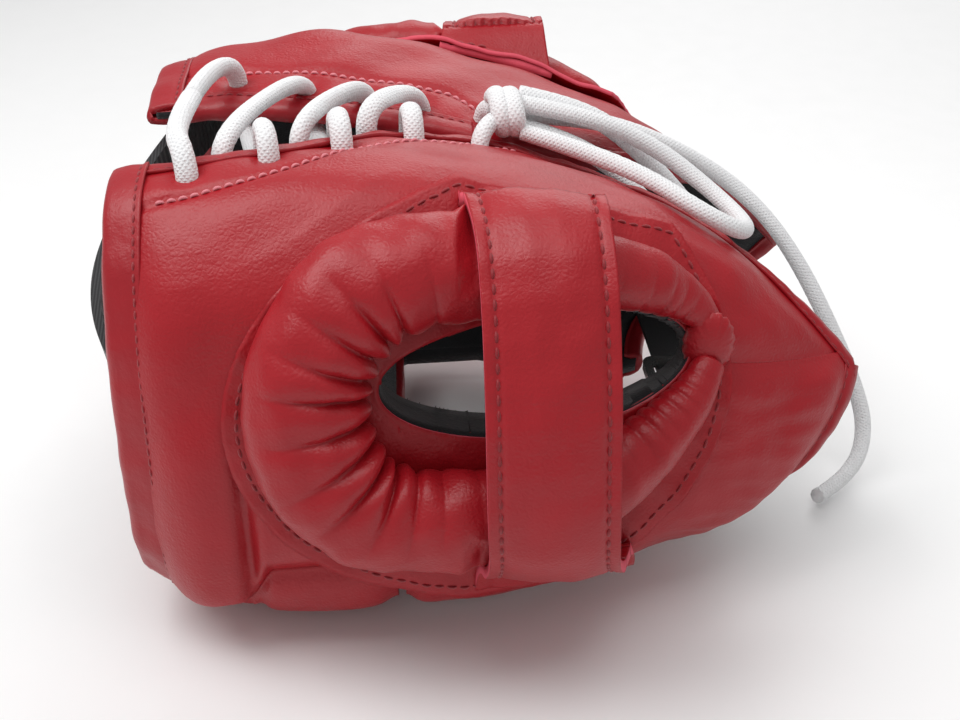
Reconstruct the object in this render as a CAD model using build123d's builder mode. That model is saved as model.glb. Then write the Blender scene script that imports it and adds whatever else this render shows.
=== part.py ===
from build123d import *
import math
import os

# Padded sparring headgear, lying face down.
# +X runs from the crown opening to the chin, +Y to the wearer's right ear, +Z up to the back
# of the head. z = 0 is the table. All sizes in millimetres.

# ---- driving sizes: the head form ----
# station x, half width, top z, bottom z, lower corner height, underside height, wall share
STATIONS = [
    (0.6, 90, 141, 9, 0.11, 0.005, 1.0),
    (40, 95, 145, 1.75, 0.10, 0.005, 1.0),
    (85, 96, 143, 1.75, 0.12, 0.010, 1.0),
    (130, 91, 131, 2.9, 0.16, 0.020, 1.0),
    (160, 83, 119, 7, 0.20, 0.030, 0.95),
    (182, 76, 106, 14, 0.18, 0.040, 0.75),
    (205, 66, 89, 23, 0.20, 0.050, 0.55),
    (234, 52, 71, 27, 0.20, 0.060, 0.34),
]
# half profile of a station: (share of half width, share of height, wall thickness there)
PROFILE = [
    (0.00, 0.935, 7.0),
    (0.36, 0.975, 7.0),
    (0.66, 0.960, 9.0),
    (0.89, 0.770, 14.0),
    (1.00, 0.440, 17.0),
    (0.95, None, 19.0),
    (0.60, None, 21.0),
    (0.00, 0.000, 21.0),
]
SHELL_T = 1.4       # cover leather
LINING_T = 1.2      # suede lining
BIND_T = 1.3        # binding strip over an edge
RIM_X = 2.0         # padded wall starts here, under the rim binding
RIM_BIND_W = 9.5    # crown binding seen from outside
LACE_BIND_W = 6.5   # binding along the lacing edges
NECK_BIND_W = 4.5
JAW_BIND_W = 4.5
BROW_BIND_W = 6.0

# ---- driving sizes: openings ----
TIE_X = 105.0       # where the two back wings meet
LEFT_GAP = [(-6, -44), (25, -42), (50, -35), (80, -13), (TIE_X, -1.5)]
RIGHT_GAP = [(-6, 17), (25, 14), (50, 9.5), (80, 4), (TIE_X, 1.5)]
NECK_EDGE = [(TIE_X, 1.5), (133, 6), (160, 15), (179, 25), (200, 40), (222, 50), (250, 60)]
FRONT_CUT = [(224, 100), (222, 71), (212, 52), (197, 36), (179, 23), (166, 7), (160, -20)]
BROW_X = 76.0
EYE_HALF = 60.0
CHEEK_HALF = 38.0
FACE_TOP = 48.0     # the face opening only cuts below this height
SEAM = [(-10, 30), (36, 31), (78, 36)]      # forehead to wing, in x and z
CHEEK_SEAM = [(78, 36), (92, 70), (150, 90), (250, 66)]
EAR_HOLE = (117.0, 93.0, 43.0, 14.0)        # centre x, z, half length, half height
FLANGE = (103.5, 84.0, 71.0, 51.0)          # centre x, z, half length, half height
FLANGE_T = 1.5
TAB_X = (95.0, 139.0)
TAB_Z = (30.0, 139.0)

# ---- driving sizes: ear ring, strap, lace ----
RING = [                                    # foot x, foot z, half width of the stuffed tube
    (165.5, 95.5, 4.5), (157, 103.5, 6.5), (141, 111, 9.5), (117, 117.5, 12.5), (90, 120.3, 14.5),
    (68.5, 115.3, 15.5), (56.2, 100, 16.2), (56.2, 80, 16.2), (68.5, 64.7, 16.5), (90, 59.7, 17.5),
    (117, 61.5, 16.5), (141, 69.5, 12.5), (157, 79, 8), (165.5, 87.5, 4.5),
]
RING_RISE = 0.80                            # tube half height / half width
RING_SKIN = 1.6
PINCH_R = 6.5
STRAP_X = (97.5, 138.5)
STRAP_PATH = [(-50, 112), (-60, 131), (-78, 139), (-98, 131), (-113, 108), (-121, 82),
              (-121.5, 60), (-110, 41), (-82, 31)]      # middle line in y and z
STRAP_FACE_T = 2.6
STRAP_BACK_T = 2.0
LACE_D = 6.4
LACE_HOLE_D = 7.2
LEFT_HOLES = [(22, -54), (44, -47), (64, -37), (85, -21.5), (105, -12.5)]
RIGHT_HOLES = [(28, 28), (51, 21.5), (71, 16), (88, 14), (107, 12.5)]
LACE_OUT = 4.9      # lace middle above the leather
LACE_IN = 14.5      # lace middle below the outer skin, inside
LACE_DEEP = 25.5    # second lace of the hidden crossing
LACE_BEND = 4.5     # fold where a lace turns into a hole
BAR = [(17, -40), (19, -14), (21, 12)]      # slack first bar across the gap
RISE_A = [(29.0, -35.9), (61.8, -21.8), (70.5, -15.0)]  # where a lace comes up the gap
RISE_B = [(41.0, -32.4), (51.0, -29.5), (83.5, -6.6)]
BAR_LIFT = 3.0
KNOT = (114, 1, 8.6)                        # x, y and height over the skin line
KNOT_SIZE = (10, 11.5, 8)
LOW = 5.4
HIGH = 12.4

# ---- driving sizes: bow and long end, route points as x, y and height over the skin line ----
NEAR_LOOP = [(119, -6, LOW), (138, -14, 6), (158, -26, 6), (176, -38, 6), (191, -36, 6.5),
             (196, -20, 7), (186, -4, 9), (162, 3, 12.5), (138, 1.5, 14.5), (119, 1, HIGH)]
FAR_LOOP = [(119, 1, LOW), (137, 0.5, 5), (153, -2, -1), (172, -4, -13), (187, 0, -20),
            (192, 15, -17), (175, 13, -5), (158, 9.5, 6.5), (140, 8.2, 14), (119, 8, HIGH)]
LONG_END = [(119, 8, LOW), (140, 15.5, 7), (165, 21, 7), (190, 22, 7), (206, 16, 6)]
END_DOWN = [(218, 9, 76), (228, 1, 58), (239, -2, 37), (246, -8, 16), (238, -20, 4.2),
            (223, -30, 3.6)]                # as x, y and z, down to the table
CORD_BEND = 40.0

# ---- driving sizes: crown strap and chin strap ----
CROWN_MID = (-5.0, 96.0)                    # y and z of its middle
CROWN_DIR = (0.908, 0.419)                  # y and z share of its run
CROWN_ARCH = [(20, -80), (8, -70), (-8, -50), (-15, -22), (-9, 10), (1, 35), (14, 60)]
CROWN_T = 3.0
CROWN_W = 22.0
CHIN_X = (168.0, 192.0)
CHIN_END_Y = 45.6
CHIN_GAP = 0.4                              # free gap where the strap swings at its roots
CHIN_T = 2.4
CHIN_RUN = [(CHIN_END_Y, 42.0), (-2.0, 42.0), (-8.0, 42.6), (-19.0, 51.4), (-42.0, 51.4)]
ROOT_Z = (40.0, 48.0)
BAR_Z = 45.2                                # buckle bars
HINGE_Y = -24.0
FAR_BAR_Y = -4.0
WIRE_R = 1.5
BUCKLE_W = 35.0
PRONG_R = 1.1
PRONG_W = 4.0
PIN_GAP = 0.06                              # running gap of the prong on its bar
REST_GAP = 0.35                             # prong tip over the far bar
TAB_W = 20.0
TAB_T = 2.8
KEEPER_Y = (-40.0, -34.0)
KEEPER_T = 1.4
SLOT = (5.0, 12.0)                          # prong slot in the strap, across and along

os.makedirs("parts", exist_ok=True)


def mix(table, x, column):
    "Straight interpolation of one column of a table over its first column."
    for low, high in zip(table, table[1:]):
        if x <= high[0]:
            break
    t = (x - low[0]) / (high[0] - low[0])
    return low[column] + t * (high[column] - low[column])


def half_profile(station, through, extra):
    "Points of half a section, top to bottom, sunk by a share of the wall and an extra depth."
    _, a, top, bottom, corner, under, share = station
    raw = []
    for across, height, _ in PROFILE:
        if height is None:
            height = corner if across > 0.8 else under
        raw.append((across * a, bottom + height * (top - bottom)))
    first = (-raw[1][0], raw[1][1])
    last = (-raw[-2][0], raw[-2][1])
    ring = [first] + raw + [last]
    out = []
    for i in range(1, len(ring) - 1):
        dy = ring[i + 1][0] - ring[i - 1][0]
        dz = ring[i + 1][1] - ring[i - 1][1]
        size = math.hypot(dy, dz)
        d = through * share * PROFILE[i - 1][2] + extra
        out.append((ring[i][0] + dz / size * d, ring[i][1] - dy / size * d))
    return out


def form(through, extra):
    "The head form as one solid block, sunk by a share of the wall and an extra depth."
    with BuildPart() as block:
        for station in STATIONS:
            half = half_profile(station, through, extra)
            points = half + [(-y, z) for y, z in half[-2:0:-1]]
            with BuildSketch(Plane.YZ.offset(station[0])):
                with BuildLine():
                    Spline(*points, periodic=True)
                make_face()
        loft()
    return block.part


def smooth_at(points, s):
    "Catmull-Rom point at a running index."
    i = min(max(int(s), 0), len(points) - 2)
    t = s - i
    p1 = points[i]
    p2 = points[i + 1]
    p0 = points[i - 1] if i > 0 else (-points[1][0], points[1][1])
    p3 = points[i + 2] if i + 2 < len(points) else (-points[-2][0], points[-2][1])
    out = []
    for a, b, c, d in zip(p0, p1, p2, p3):
        out.append(0.5 * (2 * b + (c - a) * t + (2 * a - 5 * b + 4 * c - d) * t * t
                          + (3 * b - a - 3 * c + d) * t ** 3))
    return out


def skin(x, wanted, axis, low, high):
    "Outer skin point (y, z) on the right half where its y (axis 0) or z (axis 1) is as wanted."
    column = [mix(STATIONS, x, k) for k in range(1, 7)]
    half = half_profile((x, *column), 0, 0)
    rising = smooth_at(half, high)[axis] > smooth_at(half, low)[axis]
    for _ in range(40):
        mid = (low + high) / 2
        if (smooth_at(half, mid)[axis] < wanted) == rising:
            low = mid
        else:
            high = mid
    return smooth_at(half, low)


def side_point(x, z):
    "Skin point and outward normal on the left side, at a height."
    y, _ = skin(x, z, 1, 1.2, 5.6)
    y_up, _ = skin(x, z + 2, 1, 1.2, 5.6)
    y_on, _ = skin(x + 2, z, 1, 1.2, 5.6)
    foot = Vector(x, -y, z)
    normal = Vector(2, y - y_on, 0).cross(Vector(0, y - y_up, 2))
    if normal.Y > 0:
        normal = normal * -1
    return foot, normal.normalized()


def top_z(x, y):
    "Height of the outer skin over a point of the plan."
    _, z = skin(x, abs(y), 0, 0.0, 3.0)
    return z


outer = form(0, 0)
under_shell = form(0, SHELL_T)
under_foam = form(1, -LINING_T)
inner = form(1, 0)
over = form(0, -BIND_T)
within = form(1, BIND_T)


def prism(plane, points, depth, curved=0):
    "Block from a closed outline; the first points, if curved, run as one smooth curve."
    with BuildPart() as block:
        with BuildSketch(plane):
            with BuildLine():
                if curved:
                    Spline(*points[:curved])
                    Polyline(*points[curved - 1:], points[0])
                else:
                    Polyline(*points, close=True)
            make_face()
        extrude(amount=depth)
    return block.part


def plan_cut(left, right, low, high):
    "Upright cut between a left and a right edge curve of the plan."
    with BuildPart() as block:
        with BuildSketch(Plane.XY.offset(low)):
            with BuildLine():
                Spline(*left)
                Spline(*right)
                Line(left[0], right[0])
                Line(left[-1], right[-1])
            make_face()
        extrude(amount=high - low)
    return block.part


def shifted(points, dx, dy):
    "The same points moved in the plan."
    return [(x + dx, y + dy) for x, y in points]


def mirrored(points):
    "The same points on the other side of the middle."
    return [(x, -y) for x, y in points]


def gap_cut(grow):
    "Lacing gap between the back wings, widened by grow."
    return plan_cut(shifted(LEFT_GAP, 0, -grow), shifted(RIGHT_GAP, 0, grow), 70, 200)


def neck_cut(grow):
    "Neck opening behind the tie, widened by grow."
    edge = shifted(NECK_EDGE, -0.5 * grow, grow)
    return plan_cut(mirrored(edge), edge, 52, 200)


def front_cut(grow):
    "Everything in front of the jaw edges, moved back by grow."
    line = [(x - 0.75 * grow, z + 0.6 * grow) for x, z in FRONT_CUT]
    close = [(300, line[-1][1]), (300, line[0][1])]
    return prism(Plane.XZ.offset(-120), line + close, 240, len(line))


def face_cut(grow):
    "Face opening between brow and cheeks, widened by grow."
    with BuildPart() as block:
        with BuildSketch(Plane.XY.offset(-20)):
            x0 = BROW_X - grow
            eye = EYE_HALF + grow
            cheek = CHEEK_HALF + grow
            with BuildLine():
                Polyline((x0, -eye), (x0, eye), (112, eye), (148, cheek), (300, cheek),
                         (300, -cheek), (148, -cheek), (112, -eye), close=True)
            make_face()
            fillet(vertices().filter_by_position(Axis.X, -50, 200), radius=16)
        extrude(amount=FACE_TOP + 20)
    return block.part


def cut_away(solid, *cutters):
    "A solid less its cutters."
    with BuildPart() as piece:
        add(solid)
        for cutter in cutters:
            add(cutter, mode=Mode.SUBTRACT)
    return piece.part


def kept(solid, region):
    "The share of a solid inside a region."
    with BuildPart() as piece:
        add(solid)
        add(region, mode=Mode.INTERSECT)
    return piece.part


def box_between(x0, x1, y0, y1, z0, z1):
    "Plain box between limits."
    with BuildPart(Plane(((x0 + x1) / 2, (y0 + y1) / 2, (z0 + z1) / 2))) as block:
        Box(x1 - x0, y1 - y0, z1 - z0)
    return block.part


nodes = {}


def keep(name, solid):
    "Store a piece under its name."
    nodes[name] = solid


# ---- cutters shared by every layer ----
gap = gap_cut(0)
neck = neck_cut(0)
front = front_cut(0)
face = face_cut(0)
before_rim = box_between(-20, RIM_X, -150, 150, -50, 200)

with BuildPart() as ear_holes:
    with BuildSketch(Plane.XZ.offset(-150)):
        with Locations((EAR_HOLE[0], EAR_HOLE[1])):
            Ellipse(EAR_HOLE[2], EAR_HOLE[3])
    extrude(amount=300)

with BuildPart() as lace_holes:
    with BuildSketch(Plane.XY.offset(95)):
        with Locations(*LEFT_HOLES, *RIGHT_HOLES):
            Circle(LACE_HOLE_D / 2)
    extrude(amount=80)

openings = (gap, neck, front, face, before_rim, ear_holes.part, lace_holes.part)
seam_top = SEAM + CHEEK_SEAM[1:]
FOREHEAD_AREA = SEAM + [(SEAM[-1][0], -30), (SEAM[0][0], -30)]
CHEEK_AREA = CHEEK_SEAM + [(CHEEK_SEAM[-1][0], -30), (CHEEK_SEAM[0][0], -30)]
WING_AREA = seam_top + [(seam_top[-1][0], 220), (seam_top[0][0], 220)]
areas = {
    "forehead": prism(Plane.XZ.offset(-130), FOREHEAD_AREA, 260),
    "left_wing": prism(Plane.XZ, WING_AREA, 130),
    "right_wing": prism(Plane.XZ, WING_AREA, -130),
    "left_cheek": prism(Plane.XZ, CHEEK_AREA, 130),
    "right_cheek": prism(Plane.XZ, CHEEK_AREA, -130),
}

# ---- padded panels: cover leather, foam, suede lining ----
layers = {
    "cover": cut_away(outer, under_shell, *openings),
    "foam": cut_away(under_shell, under_foam, *openings),
    "lining": cut_away(under_foam, inner, *openings),
}
for layer, solid in layers.items():
    for area, region in areas.items():
        keep(f"{area}_{layer}", kept(solid, region))

# ---- bindings folded over the edges ----
walls = cut_away(outer, inner, gap, neck, front, face, before_rim)
sleeve = cut_away(over, within)


def binding(wide, *taken):
    "Strip folded over an edge: the sleeve inside a wide cutter, less walls and open space."
    return cut_away(kept(sleeve, wide), walls, *taken)


rim_band = box_between(-5, RIM_X - BIND_T + RIM_BIND_W, -150, 150, -50, 200)
rim_bind = binding(rim_band, gap_cut(-BIND_T))
for area in ("forehead", "left_wing", "right_wing"):
    keep(f"{area}_rim_binding", kept(rim_bind, areas[area]))

lace_bind = binding(gap_cut(LACE_BIND_W), gap_cut(-BIND_T), rim_band, neck_cut(-BIND_T))
neck_bind = binding(neck_cut(NECK_BIND_W), neck_cut(-BIND_T), gap_cut(LACE_BIND_W),
                    front_cut(-BIND_T), face_cut(JAW_BIND_W))
jaw_bind = binding(front_cut(JAW_BIND_W), front_cut(-BIND_T), neck_cut(NECK_BIND_W), face)
for side, y0, y1 in (("left", -150, 0), ("right", 0, 150)):
    half = box_between(-20, 320, y0, y1, -50, 220)
    keep(f"{side}_lacing_binding", kept(lace_bind, half))
    keep(f"{side}_neck_binding", kept(neck_bind, half))
    keep(f"{side}_jaw_binding", kept(jaw_bind, half))
brow_zone = box_between(BROW_X - BROW_BIND_W, BROW_X + BIND_T, 16 - EYE_HALF, EYE_HALF - 16,
                        -30, FACE_TOP)
keep("brow_binding", kept(binding(brow_zone, face_cut(-BIND_T)), areas["forehead"]))

# ---- ears: raw-edged flange, stuffed ring, padded strap ----
over_flange = form(0, -FLANGE_T)
with BuildPart() as flange_area:
    with BuildSketch(Plane.XZ.offset(50)):
        with Locations((FLANGE[0], FLANGE[1])):
            Ellipse(FLANGE[2], FLANGE[3])
        with Locations(((TAB_X[0] + TAB_X[1]) / 2, (TAB_Z[0] + TAB_Z[1]) / 2)):
            Rectangle(TAB_X[1] - TAB_X[0], TAB_Z[1] - TAB_Z[0])
    extrude(amount=100)


def ring_tube(stations, skin_off):
    "Stuffed tube lofted through upright ellipses along the ring line."
    middles = []
    normals = []
    for x, z, half in stations:
        foot, normal = side_point(x, z)
        middles.append(foot + normal * (FLANGE_T + 0.85 * RING_RISE * half))
        normals.append(normal)
    with BuildPart() as tube:
        for i, (_, _, half) in enumerate(stations):
            ahead = middles[min(i + 1, len(middles) - 1)] - middles[max(i - 1, 0)]
            along = ahead.normalized()
            up = (normals[i] - along * normals[i].dot(along)).normalized()
            with BuildSketch(Plane(origin=middles[i], x_dir=up, z_dir=along)):
                Ellipse(RING_RISE * half - skin_off, half - skin_off)
        loft()
    return tube.part


def band(path, low, high, x0, x1):
    "Flat band whose thickness runs from low to high off a line in y and z."
    inside = []
    outside = []
    for i, (y, z) in enumerate(path):
        before = path[max(i - 1, 0)]
        after = path[min(i + 1, len(path) - 1)]
        dy = after[0] - before[0]
        dz = after[1] - before[1]
        size = math.hypot(dy, dz)
        inside.append((y - dz / size * low, z + dy / size * low))
        outside.append((y - dz / size * high, z + dy / size * high))
    with BuildPart() as strip:
        with BuildSketch(Plane.YZ.offset(x0)):
            with BuildLine():
                Spline(*inside)
                Spline(*outside)
                Line(inside[0], outside[0])
                Line(inside[-1], outside[-1])
            make_face()
        extrude(amount=x1 - x0)
    return strip.part


flange_skin = cut_away(over_flange, outer, ear_holes.part)
strap_path = [(y, z) for y, z in reversed(STRAP_PATH)]
strap_room = band(strap_path, -STRAP_BACK_T, 30, *STRAP_X)
ring_outside = ring_tube(RING, 0)
ring_inside = ring_tube(RING, RING_SKIN)
strap_face = band(strap_path, 0, STRAP_FACE_T, *STRAP_X)
strap_back = band(strap_path, -STRAP_BACK_T, 0, *STRAP_X)
tip_foot, tip_normal = side_point(RING[0][0] + 1, (RING[0][1] + RING[-1][1]) / 2)
with BuildPart(Location(tip_foot + tip_normal * 4)) as pinch:
    Sphere(PINCH_R)
with BuildPart(Location(tip_foot + tip_normal * 4)) as pinch_zone:
    Sphere(PINCH_R + 2 * RING_SKIN)


def as_is(solid):
    "Left ear: shapes stay where they are drawn."
    return solid


def turned(solid):
    "Right ear: the same shapes on the other side of the middle."
    return mirror(solid, Plane.XZ)


for side, placed_on in (("left", as_is), ("right", turned)):
    ring_all = cut_away(placed_on(ring_outside), over_flange, placed_on(strap_room))
    ring_core = cut_away(kept(placed_on(ring_inside), ring_all), placed_on(pinch_zone.part))
    keep(f"{side}_ear_flange", kept(flange_skin, placed_on(flange_area.part)))
    keep(f"{side}_ear_ring_cover", cut_away(ring_all, ring_core))
    keep(f"{side}_ear_ring_core", ring_core)
    keep(f"{side}_ear_ring_pinch", cut_away(placed_on(pinch.part), ring_all, over_flange))
    keep(f"{side}_ear_strap_face", cut_away(placed_on(strap_face), over_flange))
    keep(f"{side}_ear_strap_back", cut_away(placed_on(strap_back), over_flange))

# ---- crown strap: thin band arching out of the crown opening ----
along = (CROWN_DIR[0], CROWN_DIR[1])
crown_plane = Plane(origin=(0, CROWN_MID[0], CROWN_MID[1]), x_dir=(1, 0, 0),
                    z_dir=(0, -along[1], along[0]))
with BuildPart() as crown:
    with BuildSketch(crown_plane.offset(-CROWN_W / 2)):
        with BuildLine():
            Spline(*CROWN_ARCH)
            Spline(*[(x + CROWN_T, run) for x, run in CROWN_ARCH])
            Line(CROWN_ARCH[0], (CROWN_ARCH[0][0] + CROWN_T, CROWN_ARCH[0][1]))
            Line(CROWN_ARCH[-1], (CROWN_ARCH[-1][0] + CROWN_T, CROWN_ARCH[-1][1]))
        make_face()
    extrude(amount=CROWN_W)
keep("crown_strap", cut_away(crown.part, sleeve))


# ---- lace ----
lengths = {}


def over_skin(x, y, height):
    "Point at a height over the outer skin."
    return (x, y, top_z(x, y) + height)


def lace_strand(holes, rises, start):
    "One half of the lacing: up through the gap, over an edge and down into the next hole."
    points = list(start)
    for here, there, rise in zip(holes, holes[1:], rises):
        level = max(top_z(*here), top_z(*there), top_z(*rise))
        points.append((*rise, top_z(*here) - LACE_IN))
        points.append((*rise, level + LACE_OUT))
        points.append(over_skin(*there, LACE_OUT))
        points.append(over_skin(*there, -LACE_IN))
    return points


def bends(points, limit):
    "Bend radius at each inner point: nearly half the shorter run, no more than the limit."
    out = []
    for a, b, c in zip(points, points[1:], points[2:]):
        run_in = Vector(*b) - Vector(*a)
        run_out = Vector(*c) - Vector(*b)
        half_turn = math.radians(run_in.get_angle(run_out)) / 2
        out.append(min(0.45 * min(run_in.length, run_out.length) / math.tan(half_turn), limit))
    return out


def lace_tube(name, points, limit):
    "Round lace along straight runs and bends."
    radii = bends(points, limit)
    with BuildPart() as cord:
        with BuildLine() as route:
            FilletPolyline(*points, radius=radii)
        with BuildSketch(Plane(origin=route.line @ 0, z_dir=route.line % 0)):
            Circle(LACE_D / 2)
        sweep()
    lengths[name] = sum(edge.length for edge in route.line.edges())
    print(name, "length", round(lengths[name], 1), "radii", [round(r, 1) for r in radii])
    share = cord.part.volume / (math.pi * LACE_D ** 2 / 4 * lengths[name])
    print(name, "volume against section x length", round(share, 3))
    return cord.part


order_a = [LEFT_HOLES[0], RIGHT_HOLES[1], LEFT_HOLES[2], RIGHT_HOLES[3]]
order_b = [RIGHT_HOLES[0], LEFT_HOLES[1], RIGHT_HOLES[2], LEFT_HOLES[3]]
bar_level = top_z(*LEFT_HOLES[0]) + LACE_OUT + BAR_LIFT
bar = [(x, y, bar_level) for x, y in BAR]
knot_z = top_z(KNOT[0], KNOT[1]) + KNOT[2]
laces = {}
for name, order, rises, side, last, depth in (
    ("lacing_strand_a", order_a, RISE_A, bar[0], LEFT_HOLES[4], LACE_IN),
    ("lacing_strand_b", order_b, RISE_B, bar[2], RIGHT_HOLES[4], LACE_DEEP),
):
    start = [bar[1], side, over_skin(*order[0], LACE_OUT), over_skin(*order[0], -LACE_IN)]
    points = lace_strand(order, rises, start)
    points[-1] = over_skin(*order[-1], -depth)
    points.append((last[0], last[1], points[-1][2]))
    points.append(over_skin(*last, LACE_OUT))
    points.append((KNOT[0] - 3, KNOT[1] + (4 if last[1] > 0 else -4), knot_z - 1))
    laces[name] = lace_tube(name, points, LACE_BEND)
routes = {
    "bow_loop_near": [over_skin(*p) for p in NEAR_LOOP],
    "bow_loop_far": [over_skin(*p) for p in FAR_LOOP],
    "lace_long_end": [over_skin(*p) for p in LONG_END] + END_DOWN,
}
for name, points in routes.items():
    laces[name] = lace_tube(name, points, CORD_BEND)
with BuildPart() as ball:
    Sphere(1)
    scale(by=KNOT_SIZE)
knot = cut_away(ball.part.moved(Location((KNOT[0], KNOT[1], knot_z))), over, *laces.values())
keep("lace_knot", knot)
for name, solid in laces.items():
    keep(name, solid)
for side in ("left", "right"):
    name = f"{side}_lacing_binding"
    keep(name, cut_away(nodes[name], laces["lacing_strand_a"], laces["lacing_strand_b"]))

# ---- chin strap: buckled band between the cheeks ----
mid_x = (CHIN_X[0] + CHIN_X[1]) / 2


def flat_band(path, thick, x0, x1):
    "Flat strap of even thickness along straight runs in y and z."
    low = []
    high = []
    for i, (y, z) in enumerate(path):
        before = path[max(i - 1, 0)]
        after = path[min(i + 1, len(path) - 1)]
        size = math.hypot(after[0] - before[0], after[1] - before[1])
        ny = -(after[1] - before[1]) / size * thick / 2
        nz = (after[0] - before[0]) / size * thick / 2
        low.append((y - ny, z - nz))
        high.append((y + ny, z + nz))
    return prism(Plane.YZ.offset(x0), low + high[::-1], x1 - x0)


def rod(y, z, radius, half_length):
    "Round bar along x."
    with BuildPart(Plane(origin=(mid_x - half_length, y, z), z_dir=(1, 0, 0))) as bar_part:
        Cylinder(radius, 2 * half_length, align=(Align.CENTER, Align.CENTER, Align.MIN))
    return bar_part.part


root_block = box_between(CHIN_X[0], CHIN_X[1], CHIN_END_Y + CHIN_GAP, 90, *ROOT_Z)
root = kept(root_block, inner)
keep("right_chin_root", root)
keep("left_chin_root", mirror(root, Plane.XZ))
slot_mid = (CHIN_RUN[2][0] + CHIN_RUN[3][0]) / 2
prong_slot = box_between(mid_x - SLOT[0] / 2, mid_x + SLOT[0] / 2, slot_mid - SLOT[1] / 2,
                         slot_mid + SLOT[1] / 2, 30, 60)
keep("chin_strap", cut_away(flat_band(CHIN_RUN, CHIN_T, *CHIN_X), prong_slot))
with BuildPart() as frame_plate:
    with BuildSketch(Plane((mid_x, (HINGE_Y + FAR_BAR_Y) / 2, BAR_Z - WIRE_R))):
        RectangleRounded(BUCKLE_W, FAR_BAR_Y - HINGE_Y + 2 * WIRE_R, 4)
        RectangleRounded(BUCKLE_W - 4 * WIRE_R, FAR_BAR_Y - HINGE_Y - 2 * WIRE_R, 2,
                         mode=Mode.SUBTRACT)
    extrude(amount=2 * WIRE_R)
hinge_zone = box_between(mid_x - TAB_W / 2 - 1, mid_x + TAB_W / 2 + 1, HINGE_Y - 3, HINGE_Y + 3,
                         BAR_Z - 5, BAR_Z + 5)
with BuildPart() as buckle:
    add(cut_away(frame_plate.part, hinge_zone))
    add(rod(HINGE_Y, BAR_Z, WIRE_R, TAB_W / 2 + 2))
keep("buckle_frame", buckle.part)
eye_zone = box_between(mid_x - PRONG_W / 2 - CHIN_GAP, mid_x + PRONG_W / 2 + CHIN_GAP,
                       HINGE_Y - 5, HINGE_Y + 5, BAR_Z - 5, BAR_Z + 5)
with BuildPart() as tab:
    add(rod(HINGE_Y, BAR_Z, WIRE_R + 1.5, TAB_W / 2))
    add(box_between(mid_x - TAB_W / 2, mid_x + TAB_W / 2, -CHIN_END_Y, HINGE_Y,
                    BAR_Z - TAB_T / 2, BAR_Z + TAB_T / 2))
    add(rod(HINGE_Y, BAR_Z, WIRE_R, TAB_W), mode=Mode.SUBTRACT)
    add(eye_zone, mode=Mode.SUBTRACT)
keep("buckle_tab", tab.part)
prong_end = (mid_x, FAR_BAR_Y + WIRE_R, BAR_Z + WIRE_R + PRONG_R + REST_GAP)
prong_start = (mid_x, HINGE_Y + WIRE_R + PRONG_R, BAR_Z + 0.6)
prong_run = Vector(*prong_end) - Vector(*prong_start)
with BuildPart() as prong:
    with BuildSketch(Plane(origin=prong_start, z_dir=prong_run)):
        Circle(PRONG_R)
    extrude(amount=prong_run.length)
    add(rod(HINGE_Y, BAR_Z, WIRE_R + 1.5, PRONG_W / 2))
    add(rod(HINGE_Y, BAR_Z, WIRE_R + PIN_GAP, PRONG_W), mode=Mode.SUBTRACT)
keep("buckle_prong", prong.part)
strap_top = CHIN_RUN[-1][1] + CHIN_T / 2
tab_low = BAR_Z - TAB_T / 2
keeper = cut_away(
    box_between(CHIN_X[0] - KEEPER_T - 0.4, CHIN_X[1] + KEEPER_T + 0.4, *KEEPER_Y,
                tab_low - KEEPER_T, strap_top + KEEPER_T),
    box_between(CHIN_X[0] - 0.4, CHIN_X[1] + 0.4, -60, 0, tab_low, strap_top))
keep("strap_keeper", keeper)

# ---- frame: origin under the middle of the body, on the table ----
cord_names = ("bow_loop_near", "bow_loop_far", "lace_long_end")
boxes = [solid.bounding_box() for name, solid in nodes.items() if name not in cord_names]
origin_x = (min(b.min.X for b in boxes) + max(b.max.X for b in boxes)) / 2
origin_y = (min(b.min.Y for b in boxes) + max(b.max.Y for b in boxes)) / 2
origin_z = min(b.min.Z for b in boxes)
home = Location((-origin_x, -origin_y, -origin_z))
print("origin taken from", round(origin_x, 3), round(origin_y, 3), round(origin_z, 3))
print("chin hinge at", mid_x - origin_x, -origin_y, BAR_Z - origin_z)
print("prong hinge at", mid_x - origin_x, HINGE_Y - origin_y, BAR_Z - origin_z)
for name, solid in nodes.items():
    placed = solid.moved(home)
    placed.label = name
    export_step(placed, f"parts/{name}.step")
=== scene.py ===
import math

import bpy
import numpy as np
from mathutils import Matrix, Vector


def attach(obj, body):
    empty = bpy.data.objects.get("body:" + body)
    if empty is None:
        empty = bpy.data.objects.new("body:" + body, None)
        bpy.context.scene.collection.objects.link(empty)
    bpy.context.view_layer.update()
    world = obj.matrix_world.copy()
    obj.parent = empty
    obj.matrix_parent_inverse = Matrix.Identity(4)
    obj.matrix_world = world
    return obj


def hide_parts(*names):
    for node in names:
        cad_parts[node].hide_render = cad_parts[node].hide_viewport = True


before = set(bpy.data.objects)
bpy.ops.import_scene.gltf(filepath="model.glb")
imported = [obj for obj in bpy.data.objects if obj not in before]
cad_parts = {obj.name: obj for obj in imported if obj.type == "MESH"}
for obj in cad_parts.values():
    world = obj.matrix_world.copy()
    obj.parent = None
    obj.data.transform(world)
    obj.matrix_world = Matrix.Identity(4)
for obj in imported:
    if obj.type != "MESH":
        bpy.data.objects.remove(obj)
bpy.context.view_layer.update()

MM = 0.001
ORIGIN = np.array([103.806, 0.0, -0.965])   # mm; the pattern's zero is on the table, mid, at the crown rim

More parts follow.
